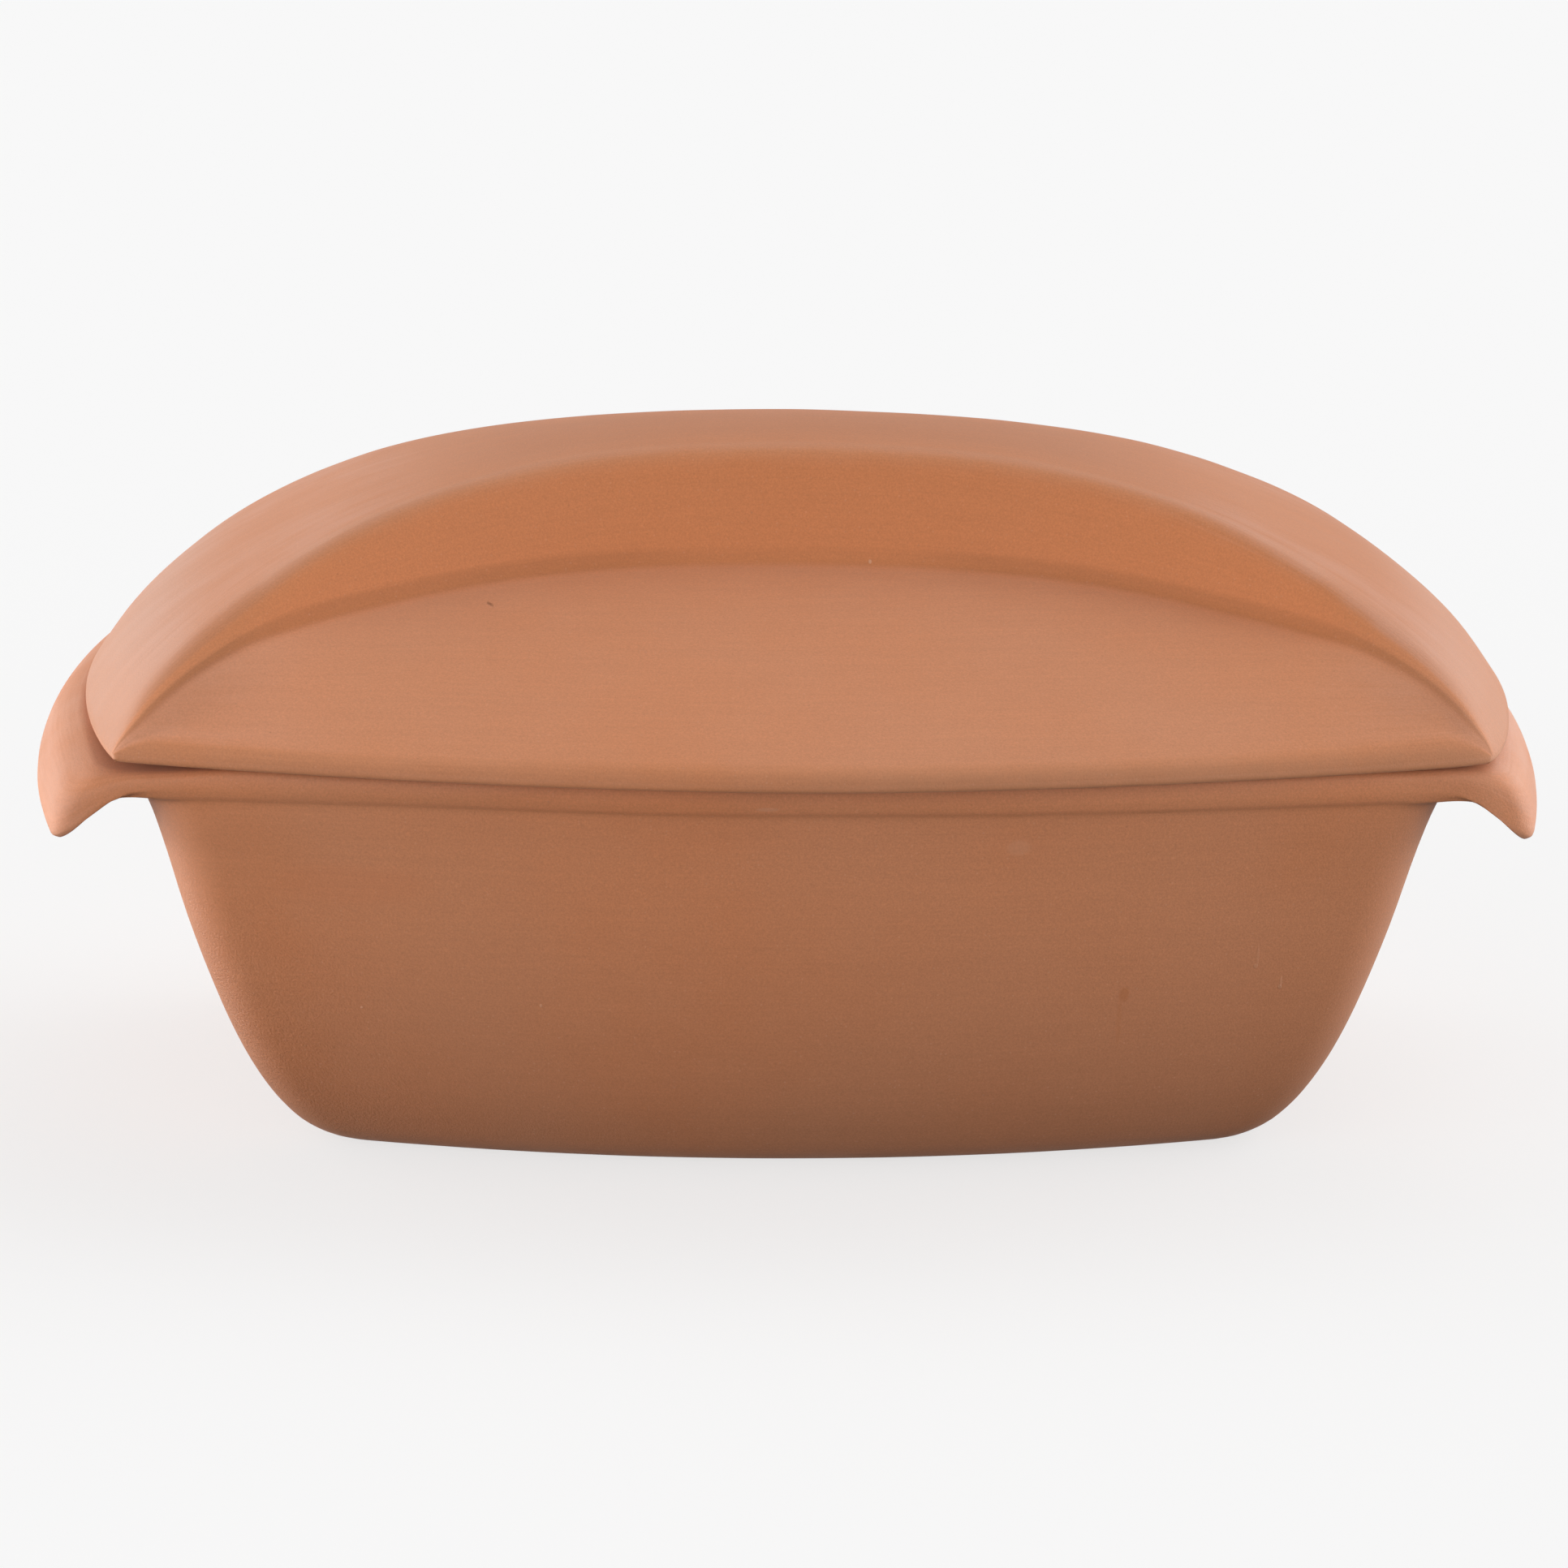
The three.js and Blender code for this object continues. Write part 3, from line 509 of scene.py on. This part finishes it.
# ------------------------------------------------------------------ clay
class Graph:
    """Small helper that adds nodes to a tree and joins them."""

    def __init__(self, tree):
        self.tree = tree

    def node(self, kind, **values):
        n = self.tree.nodes.new(kind)
        for key, value in values.items():
            setattr(n, key, value)
        return n

    def put(self, socket, value):
        if isinstance(value, bpy.types.NodeSocket):
            self.tree.links.new(value, socket)
        elif value is not None:
            socket.default_value = value

    def math(self, op, a, b=None, c=None, clamp=False):
        n = self.node("ShaderNodeMath", operation=op, use_clamp=clamp)
        for socket, value in zip(n.inputs, (a, b, c)):
            self.put(socket, value)
        return n.outputs[0]

    def vector(self, op, a, b=None, scale=None):
        n = self.node("ShaderNodeVectorMath", operation=op)
        self.put(n.inputs[0], a)
        self.put(n.inputs[1], b)
        self.put(n.inputs[3], scale)
        return n.outputs["Value" if op in ("DISTANCE", "DOT_PRODUCT", "LENGTH") else "Vector"]

    def fit(self, x, lo, hi, to_lo=0.0, to_hi=1.0, smooth=True):
        n = self.node("ShaderNodeMapRange", interpolation_type="SMOOTHSTEP" if smooth else "LINEAR", clamp=True)
        for socket, value in zip(n.inputs, (x, lo, hi, to_lo, to_hi)):
            self.put(socket, value)
        return n.outputs["Result"]

    def noise(self, at, scale, detail=2.0, rough=0.5, distort=0.0):
        n = self.node("ShaderNodeTexNoise")
        self.put(n.inputs["Vector"], at)
        for key, value in (("Scale", scale), ("Detail", detail), ("Roughness", rough), ("Distortion", distort)):
            n.inputs[key].default_value = value
        return n.outputs["Fac"]

    def mix(self, share, a, b):
        n = self.node("ShaderNodeMix", data_type="RGBA")
        self.put(n.inputs["Factor"], share)
        self.put(n.inputs[6], a)
        self.put(n.inputs[7], b)
        return n.outputs[2]

    def attribute(self, name):
        return self.node("ShaderNodeAttribute", attribute_name=name)


def clay(name, orange, pink, inside, coarse, marks):
    mat = bpy.data.materials.new(name)
    mat.use_nodes = True
    g = Graph(mat.node_tree)
    shader = mat.node_tree.nodes["Principled BSDF"]
    place = g.node("ShaderNodeTexCoord").outputs["Object"]
    flow = g.attribute("flow").outputs["Vector"]
    inner, edge, painted_light_and_shade, bloom_and_painted_sheen, pale, dry, strip, painted_bounce_and_shade, pebble = (
        g.attribute(k).outputs["Fac"] for k in ("inner", "edge", "painted_light_and_shade", "bloom_and_painted_sheen", "pale", "dry", "strip", "painted_bounce_and_shade", "pebble"))

    broad = g.noise(place, 9.0, 3.0, 0.5)
    patch = g.noise(place, 46.0, 3.0, 0.55)
    mottle = g.noise(place, 190.0, 3.0, 0.6)
    fine = g.noise(place, 1600.0, 2.0, 0.55)
    grain = g.noise(place, 2700.0, 1.0, 0.5)
    wide = g.noise(g.vector("MULTIPLY", flow, (11.0, 11.0, 330.0)), 1.0, 3.0, 0.6, 0.4)
    hair = g.noise(g.vector("MULTIPLY", flow, (34.0, 34.0, 1500.0)), 1.0, 2.0, 0.55, 0.3)

    # tiny pale grains of sand and a few dark ones
    cells = g.node("ShaderNodeTexVoronoi", feature="F1", voronoi_dimensions="3D")
    g.put(cells.inputs["Vector"], place)
    cells.inputs["Scale"].default_value = 820.0
    pick = g.node("ShaderNodeSeparateColor")
    g.put(pick.inputs[0], cells.outputs["Color"])
    dot = g.fit(cells.outputs["Distance"], 0.10, 0.30, 1.0, 0.0)
    sand = g.math("MULTIPLY", dot, g.fit(pick.outputs[0], 0.62, 0.98))
    grit = g.math("MULTIPLY", dot, g.fit(pick.outputs[1], 0.97, 0.99))

    colour = g.mix(g.fit(broad, 0.34, 0.66), orange, pink)
    colour = g.mix(g.math("MULTIPLY", g.fit(patch, 0.35, 0.7), 0.35), colour, pink)
    colour = g.mix(g.math("MULTIPLY", inner, 0.75), colour, inside)
    # painted bounce light in the recess and painted-out sheen on the band top and the left lip: mixes towards a
    # saturated orange
    colour = g.mix(g.math("MULTIPLY", painted_bounce_and_shade, 0.68), colour, (0.575, 0.203, 0.076, 1))

    colour = g.mix(g.math("MULTIPLY", pale, 0.12), colour, (0.66, 0.40, 0.335, 1))

    def swing(x, size):
        return g.math("MULTIPLY_ADD", x, 2 * size, 1 - size)

    value = swing(broad, 0.030)
    for layer, size in ((patch, 0.022), (mottle, 0.018), (wide, 0.030), (hair, 0.055), (fine, 0.075 * coarse), (grain, 0.07 * coarse)):
        value = g.math("MULTIPLY", value, swing(layer, size))
    # painted light and shade: the colour is darkened where the attribute paints shade and lightened where it paints
    # light
    value = g.math("MULTIPLY", value, g.math("MULTIPLY_ADD", painted_light_and_shade, -0.232, 1.0))
    colour = g.vector("SCALE", colour, scale=value)

    # dry whitish bloom in strokes along the form, partly painted sheen: the whitish haze that grazing light gives on
    # the band ends and the lips; rubbed edges, the lower edge
    streaked = g.math("ADD", g.math("MULTIPLY", wide, 0.5), g.math("ADD", g.math("MULTIPLY", hair, 0.35), g.math("MULTIPLY", patch, 0.6)))
    streaked = g.math("MULTIPLY", bloom_and_painted_sheen, g.fit(streaked, 0.55, 0.95))
    colour = g.mix(g.math("MULTIPLY", streaked, 0.30), colour, (0.62, 0.355, 0.275, 1))
    rubbed = g.math("MULTIPLY", edge, g.fit(g.math("ADD", patch, g.math("MULTIPLY", hair, 0.5)), 0.55, 0.95))
    colour = g.mix(g.math("MULTIPLY", rubbed, 0.22), colour, (0.66, 0.335, 0.215, 1))
    apart = g.node("ShaderNodeSeparateXYZ")
    g.put(apart.inputs[0], place)
    dusty = g.math("MULTIPLY", strip, g.fit(apart.outputs[0], -0.02, 0.03))
    browned = g.math("MULTIPLY", strip, g.fit(apart.outputs[0], -0.02, 0.03, 1.0, 0.0))
    colour = g.mix(g.math("MULTIPLY", dusty, g.fit(mottle, 0.3, 0.7, 0.25, 0.5)), colour, (0.47, 0.213, 0.110, 1))
    colour = g.mix(g.math("MULTIPLY", browned, 0.14), colour, (0.38, 0.16, 0.075, 1))
    colour = g.mix(g.math("MULTIPLY", sand, 0.10), colour, (0.80, 0.52, 0.38, 1))
    colour = g.mix(g.math("MULTIPLY", grit, 0.22), colour, (0.22, 0.085, 0.045, 1))

    # single marks from making and drying
    rise = None
    for at, size, tint, share, height in marks:
        d = g.vector("DISTANCE", g.vector("DIVIDE", place, size), tuple(p / s for p, s in zip(at, size)))
        d = g.math("ADD", d, g.math("MULTIPLY_ADD", mottle, 0.5, -0.25))
        m = g.fit(d, 0.55, 1.15, 1.0, 0.0)
        colour = g.mix(g.math("MULTIPLY", m, share), colour, tint)
        if height:
            h = g.math("MULTIPLY", m, height)
            rise = h if rise is None else g.math("ADD", rise, h)
    g.put(shader.inputs["Base Color"], colour)

    rough = g.math("MULTIPLY_ADD", fine, 0.10, 0.46)
    rough = g.math("ADD", rough, g.math("MULTIPLY_ADD", patch, 0.12, -0.06))
    rough = g.math("ADD", rough, g.math("MULTIPLY_ADD", hair, 0.10, -0.05))
    rough = g.math("ADD", rough, g.math("MULTIPLY", rubbed, -0.06))
    rough = g.math("ADD", rough, g.math("MULTIPLY", painted_bounce_and_shade, 0.30))
    rough = g.math("ADD", rough, g.math("MULTIPLY", dry, 0.30))
    g.put(shader.inputs["Roughness"], rough)
    shader.inputs["Specular IOR Level"].default_value = 0.3
    shader.inputs["Sheen Weight"].default_value = 0.05
    shader.inputs["Sheen Roughness"].default_value = 0.5

    height = g.math("MULTIPLY", fine, g.math("MULTIPLY_ADD", pebble, 0.14, 0.06))
    height = g.math("ADD", height, g.math("MULTIPLY", grain, 0.05))
    height = g.math("ADD", height, g.math("MULTIPLY", mottle, 0.05))
    height = g.math("ADD", height, g.math("MULTIPLY", wide, 0.03))
    height = g.math("ADD", height, g.math("MULTIPLY", hair, 0.030))
    height = g.math("ADD", height, g.math("MULTIPLY", sand, 0.012))
    if rise is not None:
        height = g.math("ADD", height, rise)
    bump = g.node("ShaderNodeBump")
    bump.inputs["Strength"].default_value = 1.0
    bump.inputs["Distance"].default_value = 0.001
    g.put(bump.inputs["Height"], height)
    g.put(shader.inputs["Normal"], bump.outputs["Normal"])
    return mat


# place, half size along x y z (all in metres), colour, share, height (mm)
DISH_MARKS = [
    ((0.0798, -0.0940, 0.0483), (0.0014, 0.004, 0.0022), (0.40, 0.13, 0.045, 1), 0.45, 0.0),
    ((0.0788, -0.0925, 0.0410), (0.0007, 0.006, 0.0090), (0.44, 0.15, 0.055, 1), 0.22, 0.0),
    ((0.1122, -0.0894, 0.0541), (0.0006, 0.004, 0.0007), (0.62, 0.32, 0.19, 1), 0.22, 0.12),
    ((0.1126, -0.0896, 0.0568), (0.00035, 0.004, 0.0030), (0.62, 0.32, 0.19, 1), 0.14, 0.09),
    ((0.1187, -0.0867, 0.0480), (0.0006, 0.004, 0.0007), (0.64, 0.34, 0.20, 1), 0.32, 0.15),
    ((0.1189, -0.0869, 0.0494), (0.00035, 0.004, 0.0016), (0.64, 0.34, 0.20, 1), 0.20, 0.10),
    ((-0.1053, -0.0883, 0.0431), (0.0004, 0.004, 0.0004), (0.66, 0.36, 0.22, 1), 0.4, 0.08),
    ((-0.0617, -0.0958, 0.0459), (0.0004, 0.004, 0.0006), (0.66, 0.36, 0.22, 1), 0.4, 0.08),
    ((0.0525, -0.1027, 0.0876), (0.0032, 0.004, 0.0022), (0.60, 0.29, 0.17, 1), 0.30, 0.0),
    ((-0.0080, -0.1069, 0.0981), (0.0030, 0.004, 0.0006), (0.62, 0.32, 0.20, 1), 0.40, 0.0),
    ((-0.1078, -0.0947, 0.0760), (0.0200, 0.010, 0.0060), (0.54, 0.18, 0.075, 1), 0.22, 0.0),
]
LID_MARKS = [
    ((-0.0751, -0.0533, 0.1356), (0.00042, 0.0010, 0.0008), (0.24, 0.085, 0.040, 1), 0.55, -0.06),
    ((-0.0747, -0.0537, 0.1355), (0.00045, 0.0010, 0.0008), (0.20, 0.070, 0.032, 1), 0.60, -0.08),
    ((-0.0743, -0.0541, 0.1354), (0.00042, 0.0010, 0.0008), (0.20, 0.070, 0.032, 1), 0.55, -0.08),
    ((-0.0739, -0.0545, 0.1352), (0.00035, 0.0010, 0.0007), (0.24, 0.085, 0.040, 1), 0.45, -0.05),
    ((0.0195, -0.0360, 0.1428), (0.0005, 0.0012, 0.0006), (0.72, 0.44, 0.30, 1), 0.5, 0.06),
]

dish.data.materials.append(clay("dish_clay", (0.565, 0.210, 0.092, 1), (0.545, 0.220, 0.106, 1), (0.57, 0.225, 0.108, 1), 1.95, DISH_MARKS))
lid.data.materials.append(clay("lid_clay", (0.585, 0.225, 0.099, 1), (0.565, 0.235, 0.116, 1), (0.57, 0.225, 0.108, 1), 1.7, LID_MARKS))

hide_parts("base_dish")
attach(dish, "base")
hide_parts("lid")
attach(lid, "cover")

# ------------------------------------------------------------------ stage and light
me = bpy.data.meshes.new("floor")
me.from_pydata([(-14, -14, -0.0002), (14, -14, -0.0002), (14, 14, -0.0002), (-14, 14, -0.0002)], [], [(0, 1, 2, 3)])
floor = bpy.data.objects.new("floor", me)
scene.collection.objects.link(floor)
pale = bpy.data.materials.new("floor")
pale.use_nodes = True
pale.node_tree.nodes["Principled BSDF"].inputs["Base Color"].default_value = (0.28, 0.28, 0.28, 1)
pale.node_tree.nodes["Principled BSDF"].inputs["Roughness"].default_value = 1.0
pale.node_tree.nodes["Principled BSDF"].inputs["Specular IOR Level"].default_value = 0.0
pale.node_tree.nodes["Principled BSDF"].inputs["Emission Color"].default_value = (1, 1, 1, 1)
pale.node_tree.nodes["Principled BSDF"].inputs["Emission Strength"].default_value = 0.69
me.materials.append(pale)
floor.visible_diffuse = False
floor.visible_glossy = False
floor.visible_shadow = False

# soft light all round: azimuth from the front towards +X, elevation (degrees), tightness, strength
LIGHTS = [
    (0, 11, 30.0, 2.4), (30, 10, 30.0, 2.75), (330, 10, 30.0, 3.3), (60, 8, 30.0, 2.2), (300, 8, 30.0, 3.8),
    (90, 7, 30.0, 2.6), (270, 7, 30.0, 2.7), (120, 7, 30.0, 2.4), (240, 7, 30.0, 2.9), (150, 7, 30.0, 2.2), (210, 7, 30.0, 3.2),
    (90, 24, 24.0, 1.9), (120, 24, 24.0, 0.8), (240, 24, 24.0, 1.1), (270, 24, 24.0, 0.5), (330, 45, 14.0, 0.52),
    (110, 46, 14.0, 1.1), (150, 58, 14.0, 1.5), (215, 56, 14.0, 0.6),
]
# those that reach under the lips, from beside the object
SIDE_LIGHTS = [
    (72, -5, 36.0, 1.2), (95, -5, 36.0, 5.6), (128, -14, 36.0, 2.0),
    (286, -5, 36.0, 2.2), (266, -5, 36.0, 5.6), (240, -13, 36.0, 6.2),
    (180, -18, 16.0, 1.0), (262, -35, 18.0, 0.9), (98, -35, 18.0, 0.4),
]
world = bpy.data.worlds.new("studio")
scene.world = world
world.use_nodes = True
g = Graph(world.node_tree)
sky = g.node("ShaderNodeTexCoord").outputs["Generated"]


def glow_of(lights):
    total = None
    for azimuth, elevation, tight, strength in lights:
        a, e = math.radians(azimuth), math.radians(elevation)
        aim = (math.sin(a) * math.cos(e), -math.cos(a) * math.cos(e), math.sin(e))
        facing = g.vector("DOT_PRODUCT", sky, aim)
        glow = g.math("EXPONENT", g.math("MULTIPLY_ADD", facing, tight, -tight))
        glow = g.math("MULTIPLY", glow, strength)
        total = glow if total is None else g.math("ADD", total, glow)
    return total


height = g.node("ShaderNodeSeparateXYZ")
g.put(height.inputs[0], sky)
total = g.math("MULTIPLY", glow_of(LIGHTS), g.fit(height.outputs[2], -0.01, 0.01))
total = g.math("ADD", total, glow_of(SIDE_LIGHTS))
world.node_tree.nodes["Background"].inputs["Color"].default_value = (1, 1, 1, 1)
g.put(world.node_tree.nodes["Background"].inputs["Strength"], total)

scene.view_settings.view_transform = "Standard"
